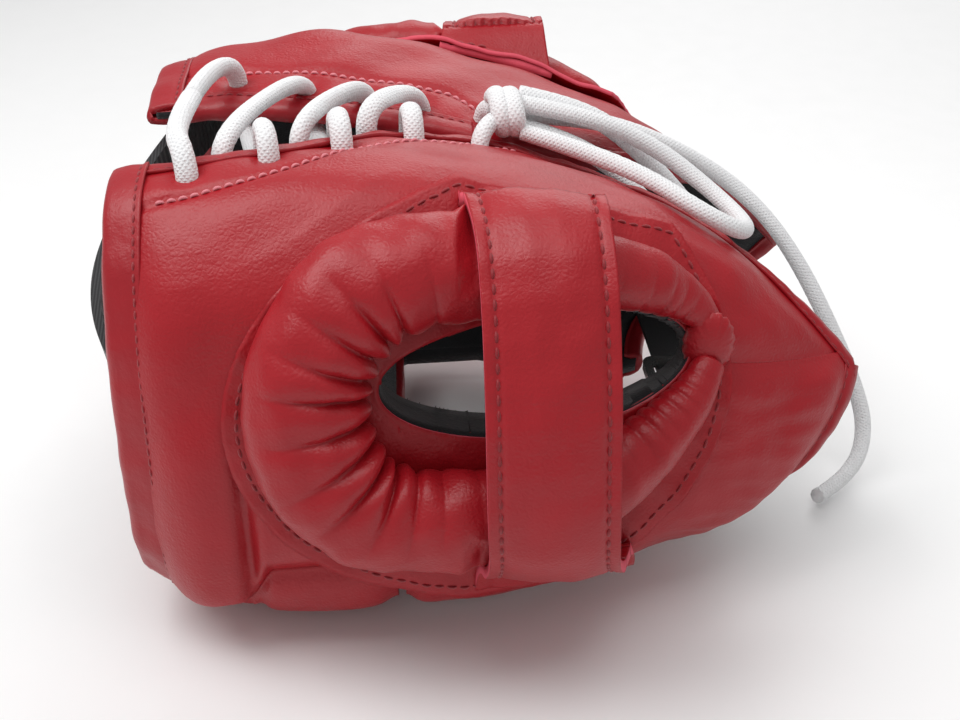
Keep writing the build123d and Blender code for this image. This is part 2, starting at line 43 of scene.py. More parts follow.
# ---- camera and light -------------------------------------------------------------------
# Seen from the wearer's left, a little above, with the crown opening on the left of the view.
# Soft studio light from above and a pale table.
EYE = Vector((-21.8, -392.0, 278.0)) * MM
LOOK_UP, LOOK_TURN = math.radians(30.5), math.radians(-3.5)
camera = bpy.data.objects.new("view", bpy.data.cameras.new("view"))
bpy.context.collection.objects.link(camera)
camera.location = EYE
camera.rotation_euler = (math.pi / 2 - LOOK_UP, 0, LOOK_TURN)
camera.data.lens = 48.75
camera.data.sensor_width = 36
bpy.context.scene.camera = camera

world = bpy.data.worlds.new("room")
bpy.context.scene.world = world
world.use_nodes = True
world.node_tree.nodes["Background"].inputs["Color"].default_value = (1, 1, 1, 1)
world.node_tree.nodes["Background"].inputs["Strength"].default_value = 0.46
bpy.context.scene.view_settings.view_transform = "Standard"
for name, place, size, watts in (
    ("key_light", (-0.45, -0.10, 0.85), 0.55, 4.6),
    ("back_light", (0.25, 0.80, 0.70), 0.8, 3.6),
    ("top_light", (0.10, -0.25, 1.05), 0.6, 2.6),
):
    lamp = bpy.data.objects.new(name, bpy.data.lights.new(name, "AREA"))
    lamp.data.size = size
    lamp.data.energy = watts
    lamp.location = place
    lamp.rotation_euler = (Vector((0, 0, 0.05)) - Vector(place)).to_track_quat("-Z", "Y").to_euler()
    bpy.context.collection.objects.link(lamp)


# ---- table --------------------------------------------------------------------------------
# A plain pale table top, wider than anything that shows.
def material(name, color, roughness, *, sheen=0.0, metal=0.0, specular=0.5, spots=0.0, spot_size=60.0,
             bumps=()):
    "A surface with soft colour patches; bumps are layers of (kind, scale, height in mm, strength)."
    mat = bpy.data.materials.new(name)
    mat.use_nodes = True
    nodes, links = mat.node_tree.nodes, mat.node_tree.links
    skin = nodes["Principled BSDF"]
    skin.inputs["Metallic"].default_value = metal
    skin.inputs["Specular IOR Level"].default_value = specular
    skin.inputs["Sheen Weight"].default_value = sheen
    skin.inputs["Sheen Roughness"].default_value = 0.5
    place = nodes.new("ShaderNodeTexCoord")
    patch = nodes.new("ShaderNodeTexNoise")
    patch.inputs["Scale"].default_value = spot_size
    patch.inputs["Detail"].default_value = 5.0
    links.new(place.outputs["Object"], patch.inputs["Vector"])
    shade = nodes.new("ShaderNodeMix")
    shade.data_type = "RGBA"
    shade.inputs["A"].default_value = (*[c * (1 - spots) for c in color], 1)
    shade.inputs["B"].default_value = (*[min(1, c * (1 + spots)) for c in color], 1)
    links.new(patch.outputs["Fac"], shade.inputs["Factor"])
    links.new(shade.outputs["Result"], skin.inputs["Base Color"])
    rough = nodes.new("ShaderNodeMapRange")
    rough.inputs["To Min"].default_value = max(0.02, roughness - 0.08)
    rough.inputs["To Max"].default_value = min(1.0, roughness + 0.08)
    links.new(patch.outputs["Fac"], rough.inputs["Value"])
    links.new(rough.outputs["Result"], skin.inputs["Roughness"])
    last = None
    for kind, scale, height, strength in bumps:
        if kind == "cells":
            tex = nodes.new("ShaderNodeTexVoronoi")
            tex.feature = "DISTANCE_TO_EDGE"
            out = tex.outputs["Distance"]
        elif kind == "wave":
            tex = nodes.new("ShaderNodeTexWave")
            tex.inputs["Distortion"].default_value = 0.6
            out = tex.outputs["Fac"]
        else:
            tex = nodes.new("ShaderNodeTexNoise")
            tex.inputs["Detail"].default_value = 6.0
            tex.inputs["Roughness"].default_value = 0.6
            out = tex.outputs["Fac"]
        tex.inputs["Scale"].default_value = scale
        links.new(place.outputs["Object"], tex.inputs["Vector"])
        bump = nodes.new("ShaderNodeBump")
        bump.inputs["Strength"].default_value = strength
        bump.inputs["Distance"].default_value = height * MM
        links.new(out, bump.inputs["Height"])
        if last:
            links.new(last.outputs["Normal"], bump.inputs["Normal"])
        last = bump
    if last:
        links.new(last.outputs["Normal"], skin.inputs["Normal"])
    return mat


table_top = material("table_top", (0.90, 0.90, 0.90), 0.35, specular=0.35, spots=0.01)
floor_mesh = bpy.data.meshes.new("table")
floor_mesh.from_pydata([(-4, -4, 0), (4, -4, 0), (4, 4, 0), (-4, 4, 0)], [], [(0, 1, 2, 3)])
floor_mesh.materials.append(table_top)
floor = bpy.data.objects.new("table", floor_mesh)
bpy.context.collection.objects.link(floor)

# ---- padded wall of the head ------------------------------------------------------------
# The headgear is a sewn shell: red leather outside, foam, and black suede inside.
# A place on it is x along the head and s round it, from 0 at the back (top) to 7 at the face.
STATIONS = np.array([    # x, half width, top z, bottom z, corner share, under share, wall share
    (0.6, 90, 141, 9, 0.11, 0.005, 1.0), (40, 95, 145, 1.75, 0.10, 0.005, 1.0),
    (85, 96, 143, 1.75, 0.12, 0.010, 1.0), (130, 91, 131, 2.9, 0.16, 0.020, 1.0),
    (160, 83, 119, 7, 0.20, 0.030, 0.95), (182, 76, 106, 14, 0.18, 0.040, 0.75),
    (205, 66, 89, 23, 0.20, 0.050, 0.55), (234, 52, 71, 27, 0.20, 0.060, 0.34)])
PROFILE = np.array([(0, .935, 7), (.36, .975, 7), (.66, .96, 9), (.89, .77, 14), (1, .44, 17),
                    (.95, 0, 19), (.60, 0, 21), (0, 0, 21)])     # half width, height, wall thickness
SLOPES = np.gradient(STATIONS[:, 1:], STATIONS[:, 0], axis=0)


def wall(x, s, through=0.0, lift=0.0):
    "Points of the wall's right half, sunk by a share of its thickness and raised, with normals."
    x, s, through, lift = np.broadcast_arrays(*[np.asarray(v, float) for v in (x, s, through, lift)])
    shape = x.shape
    x, s, through, lift = x.ravel(), s.ravel(), through.ravel(), lift.ravel()
    at = STATIONS[:, 0]
    k = np.clip(np.searchsorted(at, x) - 1, 0, len(at) - 2)
    run = (at[k + 1] - at[k])[:, None]
    t = ((x - at[k])[:, None] / run).clip(-0.3, 1.2)
    a, b, ma, mb = STATIONS[k, 1:], STATIONS[k + 1, 1:], SLOPES[k] * run, SLOPES[k + 1] * run
    cols = ((2 * t**3 - 3 * t**2 + 1) * a + (t**3 - 2 * t**2 + t) * ma
            + (3 * t**2 - 2 * t**3) * b + (t**3 - t**2) * mb)
    half, top, low, corner, under, share = cols.T
    height = np.tile(PROFILE[:, 1], (len(x), 1))
    height[:, 5], height[:, 6] = corner, under
    y = np.outer(half, PROFILE[:, 0])
    z = low[:, None] + height * (top - low)[:, None]
    ring_y = np.column_stack([-y[:, 1], y, -y[:, 6]])
    ring_z = np.column_stack([z[:, 1], z, z[:, 6]])
    dy, dz = ring_y[:, 2:] - ring_y[:, :-2], ring_z[:, 2:] - ring_z[:, :-2]
    size = np.hypot(dy, dz)
    deep = share[:, None] * PROFILE[:, 2]
    layers = []
    for d in (0 * deep, deep):
        yy, zz = y + dz / size * d, z - dy / size * d
        yy = np.column_stack([-yy[:, 1], yy, -yy[:, 6]])
        zz = np.column_stack([zz[:, 1], zz, zz[:, 6]])
        i = np.clip(s.astype(int), 0, 6)
        f = s - i
        row = np.arange(len(x))
        pair = []
        for v in (yy, zz):
            p0, p1, p2, p3 = (v[row, i + n] for n in range(4))
            pair.append(0.5 * (2 * p1 + (p2 - p0) * f + (2 * p0 - 5 * p1 + 4 * p2 - p3) * f * f
                               + (3 * p1 - p0 - 3 * p2 + p3) * f**3))
        layers.append(np.column_stack(pair))
    out, inn = layers
    normal = (out - inn) / np.linalg.norm(out - inn, axis=1)[:, None]
    point = out + (inn - out) * through[:, None] + normal * lift[:, None]
    points = np.column_stack([x, point]).reshape(*shape, 3)
    normals = np.column_stack([0 * x, normal]).reshape(*shape, 3)
    return points, normals


def round_at(x, wanted, axis, low, high):
    "The s at which y (axis 1) or z (axis 2) is as wanted."
    x, wanted = np.broadcast_arrays(np.asarray(x, float), np.asarray(wanted, float))
    low, high = np.full(x.shape, float(low)), np.full(x.shape, float(high))
    rising = wall(x, high)[0][..., axis] > wall(x, low)[0][..., axis]
    for _ in range(22):
        mid = (low + high) / 2
        before = (wall(x, mid)[0][..., axis] < wanted) == rising
        low, high = np.where(before, mid, low), np.where(before, high, mid)
    return low


def table_at(table, at):
    "Smooth curve through a table of two columns."
    table = np.array(sorted(table), float)
    slopes = np.gradient(table[:, 1], table[:, 0])
    at = np.asarray(at, float)
    k = np.clip(np.searchsorted(table[:, 0], at) - 1, 0, len(table) - 2)
    run = table[k + 1, 0] - table[k, 0]
    t = ((at - table[k, 0]) / run).clip(0, 1)
    return ((2 * t**3 - 3 * t**2 + 1) * table[k, 1] + (t**3 - 2 * t**2 + t) * slopes[k] * run
            + (3 * t**2 - 2 * t**3) * table[k + 1, 1] + (t**3 - t**2) * slopes[k + 1] * run)


def ripple(points, size, seed):
    "Soft bumps of about that size, from -1 to 1."
    pick = np.random.default_rng(seed)
    total = 0
    for _ in range(7):
        way = pick.normal(size=3)
        way = way / np.linalg.norm(way) * pick.uniform(0.7, 1.5) * 2 * math.pi / size
        total = total + np.sin(points @ way + pick.uniform(0, 6.3))
    return total / 3.5


def travelled(points, axis):
    "Distance along a grid's lines."
    step = np.linalg.norm(np.diff(points, axis=axis), axis=-1)
    pad = [(0, 0)] * step.ndim
    pad[axis] = (1, 0)
    return np.pad(np.cumsum(step, axis=axis), pad)


def make(name, points, faces, materials, pick=None, body="headgear", smooth=True):
    "Mesh object from points in the pattern's millimetres."
    mesh = bpy.data.meshes.new(name)
    mesh.from_pydata(((np.asarray(points) - ORIGIN) * MM).tolist(), [],
                     [tuple(int(i) for i in f) for f in faces])
    for m in materials:
        mesh.materials.append(m)
    if pick is not None:
        mesh.polygons.foreach_set("material_index", np.asarray(pick, np.int32))
    mesh.polygons.foreach_set("use_smooth", [smooth] * len(mesh.polygons))
    mesh.update()
    piece = bpy.data.objects.new(name, mesh)
    bpy.context.collection.objects.link(piece)
    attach(piece, body)
    return piece


def closed(out, back, keep=None, wrap=False):
    "Faces of a closed sheet between two grids: outer, back, and border faces."
    rows, cols = out.shape[:2]
    n = rows * cols
    index = np.arange(n).reshape(rows, cols)
    if wrap:
        index = np.vstack([index, index[:1]])
    quads = np.stack([index[:-1, :-1], index[1:, :-1], index[1:, 1:], index[:-1, 1:]], -1).reshape(-1, 4)
    if keep is not None:
        quads = quads[keep.ravel()[quads].all(axis=1)]
    edges = np.concatenate([quads[:, [k, (k + 1) % 4]] for k in range(4)])
    there = set(map(tuple, edges.tolist()))
    border = [(a, b) for a, b in there if (b, a) not in there]
    sides = [(b, a, a + n, b + n) for a, b in sorted(border)]
    faces = quads.tolist() + (quads[:, ::-1] + n).tolist() + sides
    points = np.concatenate([out.reshape(-1, 3), back.reshape(-1, 3)])
    corner = points[np.array(quads)] - points.mean(0)
    volume = 0
    for a, b, c in ((0, 1, 2), (0, 2, 3)):
        volume += np.einsum("ij,ij->i", corner[:, a], np.cross(corner[:, b], corner[:, c])).sum()
    if volume < 0:
        faces = [f[::-1] for f in faces]
    used = np.unique(np.concatenate([np.ravel(f) for f in faces]))
    fresh = np.full(2 * n, -1)
    fresh[used] = np.arange(len(used))
    faces = [[fresh[i] for i in f] for f in faces]
    return points[used], faces, len(quads), len(sides)


# ---- back wings ---------------------------------------------------------------------------
# Two large panels of foam between grained red leather outside and black suede inside. Each is
# sewn to its neighbours in a narrow seam; its free edges are pressed thin.
GRAIN = (("noise", 75, 1.6, 0.35), ("noise", 330, 0.35, 0.35), ("cells", 720, 0.22, 0.6))
red_leather = material("red_leather", (0.355, 0.0060, 0.0125), 0.40, specular=0.42, spots=0.10, bumps=GRAIN)
suede = material("suede", (0.016, 0.016, 0.018), 0.92, sheen=0.30, specular=0.2, spots=0.35,
                 spot_size=160, bumps=(("noise", 1500, 0.4, 0.8), ("noise", 260, 1.0, 0.3)))
RIM_X, BROW_X, TIE_X = 2.0, 76.0, 105.0
LEFT_GAP = [(-6, 44), (25, 42), (50, 35), (80, 13), (TIE_X, 1.5)]
RIGHT_GAP = [(-6, 17), (25, 14), (50, 9.5), (80, 4), (TIE_X, 1.5)]
NECK_EDGE = [(TIE_X, 1.5), (133, 6), (160, 15), (179, 25), (200, 40), (222, 50), (250, 60)]
SEAM = [(-10, 13), (31, 14), (39, 31), (78, 36), (92, 70), (150, 90), (250, 66)]
EAR_HOLE = (117.0, 92.0, 43.5, 15.5)        # centre x, z, half length, half height


def back_edge(x, side):
    "s of the lacing and neck edge."
    gap = LEFT_GAP if side < 0 else RIGHT_GAP
    y = np.where(np.asarray(x) < TIE_X, table_at(gap, np.minimum(x, TIE_X)),
                 table_at(NECK_EDGE, np.maximum(x, TIE_X)))
    return round_at(x, y, 1, 0, 3.6)


def seam_edge(x):
    "s of the seam between the wing and the forehead or cheek."
    return round_at(x, np.interp(x, *zip(*SEAM)), 2, 1.2, 5.6)


def pressed(d, size=8.5):
    "Share of the pressing at a distance from an edge."
    return np.exp(-(d / size) ** 2)


def panel(name, x, s, sign, free, lift, nodes, hole=False):
    "Stuffed panel over a grid of places; free tells which of its four edges aren't sewn to a neighbour."
    base, _ = wall(x, s)
    across, along = travelled(base, 1), travelled(base, 0)
    far = {"u0": along, "u1": along[-1:] - along, "t0": across, "t1": across[:, -1:] - across}
    dip, edge = 0, 1
    for key, d in far.items():
        dip = np.maximum(dip, (0.33 if free[key] else 0.10) * pressed(d, 8.5 if free[key] else 4.0))
        edge = edge * (1 - pressed(d, 7))
    place = base * np.array([1, 0, 1]) + np.stack([0 * x, base[..., 1] * sign, 0 * x], -1)
    out, _ = wall(x, s, dip, lift(place, far) * edge)
    inn, _ = wall(x, s, 1 - dip, 0.8 * ripple(place, 26, 5) * edge)
    for grid in (out, inn):
        grid[..., 1] *= sign
    keep = None
    if hole:
        cx, cz, a, b = EAR_HOLE
        keep = ((base[..., 0] - cx) / a) ** 2 + ((base[..., 2] - cz) / b) ** 2 > 1.0
    points, faces, n_quads, n_sides = closed(out, inn, keep)
    pick = [0] * n_quads + [1] * (n_quads + n_sides)
    piece = make(name, points, faces, (red_leather, suede), pick)
    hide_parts(*nodes)
    return out


LEFT_HOLES = [(22, -54), (44, -47), (64, -37), (85, -21.5), (105, -12.5)]
RIGHT_HOLES = [(28, 28), (51, 21.5), (71, 16), (88, 14), (107, 12.5)]
CROSS_SEAM = 34.0       # x of the cross seam, behind the puffed crown roll
MARGIN = 21.0           # plain lacing margin, up to its sewn line


def wing_lift(side):
    "Puffing of a back wing: crown roll, cross seam, lacing margin, dents at the lace holes."
    holes = np.array(LEFT_HOLES if side < 0 else RIGHT_HOLES)

    def lift(p, far):
        x = p[..., 0]
        sewn = np.clip((88 - p[..., 2]) / 45, 0, 1)
        roll = (1 + 2.2 * sewn) * np.exp(-((x - 20) / 9) ** 2)
        roll = roll - 4.2 * sewn * np.exp(-((x - CROSS_SEAM) / 2.6) ** 2)
        puff = 3.0 * np.exp(-((x - 58) / 22) ** 2) + 1.5
        margin = MARGIN * np.clip((128 - x) / 30, 0.12, 1)
        inside = np.clip((far["t0"] - margin) / 26, 0, 1)
        body = (roll + puff) * inside - 0.9 * np.exp(-((far["t0"] - margin) / 1.7) ** 2)
        dents = 0
        for hx, hy in holes:
            dents = dents - 2.2 * np.exp(-((x - hx) ** 2 + (p[..., 1] - hy) ** 2) / 22)
        crumple = 0.7 * ripple(p, 26, 3) + 0.16 * ripple(p, 10, 4) * np.clip((x - 120) / 30, 0.25, 1.8)
        return body + crumple + dents
    return lift


FREE = dict(u0=True, u1=True, t0=True, t1=True)
u = np.linspace(0, 1, 190)[:, None]
t = np.linspace(0, 1, 120)[None, :]
seam_x = np.linspace(180, 222, 200)
TIP_X = float(seam_x[np.argmax(back_edge(seam_x, -1) > seam_edge(seam_x) - 0.03)])
walls = {}
for side, word in ((-1, "left"), (1, "right")):
    x = RIM_X + u * (TIP_X - RIM_X) + 0 * t
    top, low = back_edge(x[:, 0], side)[:, None], seam_edge(x[:, 0])[:, None]
    s = top + (low - top) * t
    walls[word] = panel(f"{word}_wing", x, s, side, FREE | {"t1": False}, wing_lift(side),
                        [f"{word}_wing_{n}" for n in ("cover", "foam", "lining")], hole=True)

# ---- cheeks -------------------------------------------------------------------------------
# The same padded build, from the wing's seam round to the face opening, down to the jaw. The
# jaw end is cut on a curve.
FRONT_CUT = [(100, 224), (71, 222), (52, 212), (36, 197), (23, 179), (7, 166), (-20, 160)]   # z, x
CHEEK_X = 78.3          # front end of the forehead's seam, where the cheek starts


def cheek_top(x, side):
    "s of the cheek's upper edge: the wing's seam, then the neck edge."
    return np.maximum(seam_edge(x), back_edge(x, side))


def face_edge(x):
    "s of the face opening on the underside."
    half = np.interp(x, [76, 80, 108, 118, 142, 154, 300], [57, 60, 60, 57, 42, 38, 38])
    return round_at(x, half, 1, 5.05, 7)


def front_end(t, side):
    "x of the jaw edge along a line at a share t from the cheek's upper edge to the face opening."
    x = np.full(np.shape(t), 195.0)
    for _ in range(40):
        s = (1 - t) * cheek_top(x, side) + t * face_edge(x)
        x = 0.5 * x + 0.5 * table_at(FRONT_CUT, wall(x, s)[0][..., 2])
    return x


def cheek_lift(p, far):
    "Puffing of a cheek, more creased towards the jaw."
    return 2.0 + 0.7 * ripple(p, 26, 8) + 0.22 * ripple(p, 9, 9) * np.clip((p[..., 0] - 140) / 30, 0.2, 1.5)


for side, word in ((-1, "left"), (1, "right")):
    ends = front_end(t[0], side)
    x = CHEEK_X + u * (ends[None, :] - CHEEK_X)
    s = (1 - t) * cheek_top(x, side) + t * face_edge(x)
    panel(f"{word}_cheek", x, s, side, FREE | {"t0": False, "u0": False}, cheek_lift,
          [f"{word}_cheek_{n}" for n in ("cover", "foam", "lining")], hole=True)

# ---- forehead -----------------------------------------------------------------------------
# One padded panel right across, sewn to both wings; the headgear lies on it. Its rim is rolled
# and its brow edge is bound.
def forehead_lift(p, far):
    "Puffing of the forehead, flat where it lies on the table."
    x = p[..., 0]
    rising = np.clip((p[..., 2] - 3) / 14, 0, 1)
    roll = 2.6 * np.exp(-((x - 20) / 9) ** 2) - (1.0 + 2.6 * rising) * np.exp(-((x - CROSS_SEAM) / 2.6) ** 2)
    return roll * (0.3 + 0.7 * rising) + 1.3 * rising + 0.5 * ripple(p, 26, 3) * rising


u = np.linspace(0, 1, 70)[:, None]
t = np.linspace(0, 1, 220)[None, :]
x = RIM_X + u * (BROW_X - RIM_X) + 0 * t
low = seam_edge(x[:, 0])[:, None]
s = low + (14 - 2 * low) * t
panel("forehead", x, 7 - abs(7 - s), np.where(s < 7, -1, 1), FREE | {"t0": False, "t1": False, "u1": False},
      forehead_lift, [f"forehead_{n}" for n in ("cover", "foam", "lining")])

# ---- bindings ----------------------------------------------------------------------------
# Strips of the same leather folded over each free edge of the panels and sewn through, near
# their own inner edge, with a dark red thread.
red_trim = material("red_trim", (0.33, 0.0058, 0.0125), 0.40, specular=0.45, spots=0.12,
                    bumps=(("noise", 160, 1.2, 0.4), ("cells", 1000, 0.14, 0.4)))
thread = material("thread", (0.25, 0.004, 0.010), 0.6, sheen=0.2, bumps=(("noise", 3000, 0.1, 0.6),))


def stitches(name, line, normals, pitch, radius, mat, share=0.84, sink=0.1):
    "Row of short thread stitches along a line, each dipping into the leather at its ends."
    far = travelled(line, 0)
    places = np.arange(pitch, far[-1] - pitch, pitch)
    centre = np.column_stack([np.interp(places, far, line[:, k]) for k in range(3)])
    up = np.column_stack([np.interp(places, far, normals[:, k]) for k in range(3)])
    ahead = np.column_stack([np.interp(places + 0.5, far, line[:, k]) for k in range(3)]) - centre
    ahead /= np.linalg.norm(ahead, axis=1)[:, None]
    up -= ahead * np.einsum("ij,ij->i", up, ahead)[:, None]
    up /= np.linalg.norm(up, axis=1)[:, None]
    over = np.cross(ahead, up)
    points, faces = [], []
    stops = ((-1, 0.35, -1.3), (-0.8, 0.85, -0.3), (-0.3, 1, 0.35),
             (0.3, 1, 0.35), (0.8, 0.85, -0.3), (1, 0.35, -1.3))
    for c, f, n, o in zip(centre, ahead, up, over):
        first = len(points)
        for along, thick, high in stops:
            for k in range(6):
                a = k * math.pi / 3
                points.append(c + f * along * share * pitch / 2 + n * (high - sink) * radius
                              + (n * math.sin(a) + o * math.cos(a)) * thick * radius)
        for r in range(len(stops) - 1):
            for k in range(6):
                faces.append((first + 6 * r + k, first + 6 * r + (k + 1) % 6,
                              first + 6 * r + 6 + (k + 1) % 6, first + 6 * r + 6 + k))
    piece = make(name, points, faces, (mat,))
    return piece


def edge_strip(name, x, s, sign, width, nodes, rise=1.0, pitch=3.3):
    "Binding over the edge at the first column of a grid of places that runs inwards."
    base, _ = wall(x, s)
    far = travelled(base, 1)
    dip = 0.33 * pressed(far)
    sides = []
    for through, turn in ((dip, 1), (1 - dip, -1)):
        grid, normal = wall(x, s, through)
        stops = width * np.array([0, 0.12, 0.3, 0.5, 0.68, 0.8, 0.92, 1.0])
        high = rise * np.array([1.5, 1.7, 1.8, 1.6, 1.1, 0.75, 1.1, 0.9])
        rows = []
        for i in range(len(grid)):
            g = np.column_stack([np.interp(stops, far[i], grid[i, :, k]) for k in range(3)])
            n = np.column_stack([np.interp(stops, far[i], normal[i, :, k]) for k in range(3)])
            rows.append((g, n * turn))
        sides.append((np.array([r[0] for r in rows]), np.array([r[1] for r in rows]), high))
    (og, on, high), (ig, inorm, _) = sides
    wave = 1 + 0.22 * ripple(og[:, :1] * [1, sign if np.isscalar(sign) else 1, 1], 11, 12)[..., None]
    outer, inner = og + on * high[None, :, None] * wave, ig + inorm * high[None, :, None] * wave
    middle = (og[:, 0] + ig[:, 0]) / 2
    reach = og[:, 0] - og[:, 2]
    reach /= np.linalg.norm(reach, axis=1)[:, None]
    half = (outer[:, 0] - inner[:, 0]) / 2
    past = (0.5 * np.linalg.norm(half, axis=1) + 0.6 * rise)[:, None]
    turn_pts = []
    for a in np.radians(np.linspace(60, -60, 5)):
        turn_pts.append(middle + half * math.sin(a) + reach * past * math.cos(a))
    front = np.concatenate([outer[:, ::-1], np.stack(turn_pts, 1), inner], 1)
    back = np.concatenate([(og - on * 0.4)[:, ::-1], np.repeat(middle[:, None], 5, 1), ig - inorm * 0.4], 1)
    signs = sign if np.isscalar(sign) else sign[:, None]
    for grid in (front, back):
        grid[..., 1] *= signs
    points, faces, _, _ = closed(front, back)
    piece = make(name, points, faces, (red_trim,))
    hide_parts(*nodes)
    seam = outer[:, 5].copy()
    seam_n = on[:, 5].copy()
    for grid in (seam, seam_n):
        grid[:, 1] *= sign
    stitches(f"{name}_stitches", seam, seam_n, pitch, 0.42, thread)
    return front


inwards = np.linspace(0, 1, 26)[None, :]
ends = {side: float(back_edge(np.array([RIM_X + 0.2]), side)[0]) for side in (-1, 1)}
s = np.linspace(ends[-1], 14 - ends[1], 420)
edge_strip("rim_binding", RIM_X - 1.2 + 22 * inwards + 0 * s[:, None],
           (7 - abs(7 - s))[:, None] + 0 * inwards, np.where(s < 7, -1, 1), 9.5,
           [f"{n}_rim_binding" for n in ("forehead", "left_wing", "right_wing")])
for side, word in ((-1, "left"), (1, "right")):
    x = np.linspace(9.5, TIE_X - 1, 170)[:, None]
    top = back_edge(x, side)
    edge_strip(f"{word}_lacing_binding", x + 0 * inwards, top + 0.62 * inwards, side, 6.5,
               [f"{word}_lacing_binding"])
    corner = float(front_end(np.array([0.0]), side)[0])
    x = np.linspace(TIE_X - 1, corner - 1, 200)[:, None]
    top = back_edge(x, side)
    edge_strip(f"{word}_neck_binding", x + 0 * inwards, top + 0.62 * inwards, side, 5.0,
               [f"{word}_neck_binding"], rise=1.15, pitch=3.6)
    share = np.linspace(0.0, 1, 120)
    x = front_end(share, side)
    s = (1 - share) * cheek_top(x, side) + share * face_edge(x)
    edge_strip(f"{word}_jaw_binding", x[:, None] - 22 * inwards, s[:, None] + 0 * inwards, side, 5.0,
               [f"{word}_jaw_binding"], pitch=3.6)
s = np.linspace(5.9, 8.1, 160)
edge_strip("brow_binding", BROW_X - 22 * inwards + 0 * s[:, None], (7 - abs(7 - s))[:, None] + 0 * inwards,
           np.where(s < 7, -1, 1), 6.0, ["brow_binding"])

# ---- lacing margin ------------------------------------------------------------------------
# The plain strip with the lace holes is sewn off from the padding by a line of paler thread,
# which runs down each wing and ends at the neck edge.
pale_thread = material("pale_thread", (0.68, 0.20, 0.23), 0.6, sheen=0.2, bumps=(("noise", 3000, 0.1, 0.6),))
for side, word in ((-1, "left"), (1, "right")):
    rows = walls[word]
    rows = rows[(rows[:, 0, 0] > 12) & (rows[:, 0, 0] < 120)]
    far = travelled(rows, 1)
    gap = MARGIN * np.clip((128 - rows[:, 0, 0]) / 30, 0.12, 1)
    line, beside = (np.array([[np.interp(g + more, f, row[:, k]) for k in range(3)]
                              for g, f, row in zip(gap, far, rows)]) for more in (0, 1.0))
    up = np.cross(np.gradient(line, axis=0), beside - line)
    up *= np.sign(up[:, 2:])
    up /= np.linalg.norm(up, axis=1)[:, None]
    stitches(f"{word}_margin_stitches", line + up * 0.35, up, 3.2, 0.5, pale_thread)

# ---- ear flanges ----------------------------------------------------------------------------
# A flat ring of the leather with raw, pale edges, sewn to the padding round each ear hole. Its
# tab carries the strap's upper end.
cut_edge = material("cut_edge", (0.66, 0.075, 0.115), 0.75, spots=0.15, bumps=(("noise", 900, 0.3, 0.5),))
FLANGE = (102.0, 82.0, 71.5, 55.0)          # centre x, z, half length, half height
TAB_X, TAB_Z = (95.0, 139.0), (30.0, 139.0)


def side_at(x, z, lift=0.0):
    "Point and normal of the wall's side at a height."
    s = round_at(x, z, 2, 1.3, 5.8)
    return wall(x, s, 0, lift)


angle = np.linspace(0, 2 * math.pi, 260, endpoint=False)
cx, cz, ha, hb = EAR_HOLE
inner_xz = np.column_stack([cx + (ha + 0.6) * np.cos(angle), cz + (hb + 0.6) * np.sin(angle)])
outer_xz = []
for (px, pz), a in zip(inner_xz, angle):
    way = np.array([math.cos(a), math.sin(a)])
    reach = 0
    for r in np.arange(2, 110, 0.25):
        qx, qz = cx + way[0] * r, cz + way[1] * r
        tab = (abs(qx - sum(TAB_X) / 2) / 22) ** 6 + (abs(qz - sum(TAB_Z) / 2) / 54.5) ** 6 < 1
        if ((qx - FLANGE[0]) / FLANGE[2]) ** 2 + ((qz - FLANGE[1]) / FLANGE[3]) ** 2 < 1 or tab:
            reach = r
    outer_xz.append((cx + way[0] * reach, cz + way[1] * reach))
outer_xz = np.array(outer_xz)
limit = wall(outer_xz[:, 0], np.full(len(outer_xz), 1.9))[0][:, 2]
outer_xz[:, 1] = np.minimum(outer_xz[:, 1], limit)
share = np.linspace(0, 1, 34)[None, :, None]
flat = inner_xz[:, None] * (1 - share) + outer_xz[:, None] * share
edge = share[..., 0] ** 3
place = np.stack([flat[..., 0], 0 * flat[..., 0], flat[..., 1]], -1)
frill = edge * (3.2 + 1.0 * ripple(place, 18, 21)) + 0.2 * ripple(place, 7, 22)
flange_out, flange_n = side_at(flat[..., 0], flat[..., 1], 2.9 + frill)
flange_back, _ = side_at(flat[..., 0], flat[..., 1], 1.3 + frill)
far = travelled(flange_out, 1)
flange_seam = np.array([[np.interp(f[-1] - 4, f, row[:, k]) for k in range(3)]
                        for f, row in zip(far, flange_out)])
flange_up = flange_n[:, -4]

for side, word in ((-1, "left"), (1, "right")):
    turn = np.array([1, side, 1])
    points, faces, n_quads, n_sides = closed(flange_out * turn, flange_back * turn, wrap=True)
    cut = [0] * (2 * n_quads) + [1] * n_sides
    piece = make(f"{word}_ear_flange", points, faces, (red_leather, cut_edge), cut)
    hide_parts(f"{word}_ear_flange")
    stitches(f"{word}_flange_stitches", np.vstack([flange_seam, flange_seam[:1]]) * turn,
             np.vstack([flange_up, flange_up[:1]]) * turn, 3.8, 0.45, thread)

# ---- ear hole linings -----------------------------------------------------------------------
# Black suede down the cut wall of each ear hole, from the flange to the inside.
for side, word in ((-1, "left"), (1, "right")):
    turn = np.array([1, side, 1])
    stages = []
    for through, tighter, lift in ((0.0, 0.1, 2.4), (0.1, 0.3, 0), (0.3, 0.3, 0), (0.6, 0.3, 0),
                                   (0.95, 0.1, 0), (1.03, -2.0, 0)):
        hole_x = cx + (ha + 0.6 - tighter) * np.cos(angle)
        hole_z = cz + (hb + 0.6 - tighter) * np.sin(angle)
        stages.append(wall(hole_x, round_at(hole_x, hole_z, 2, 1.3, 5.8), through, lift)[0] * turn)
    front = np.stack(stages, 1)
    centre = np.array([cx, 0, cz])
    thick = (front - centre) * np.array([1, 0, 1])
    thick /= np.linalg.norm(thick, axis=-1)[..., None]
    points, faces, _, _ = closed(front, front + thick * 1.0, wrap=True)
    piece = make(f"{word}_ear_hole_wall", points, faces, (suede,))

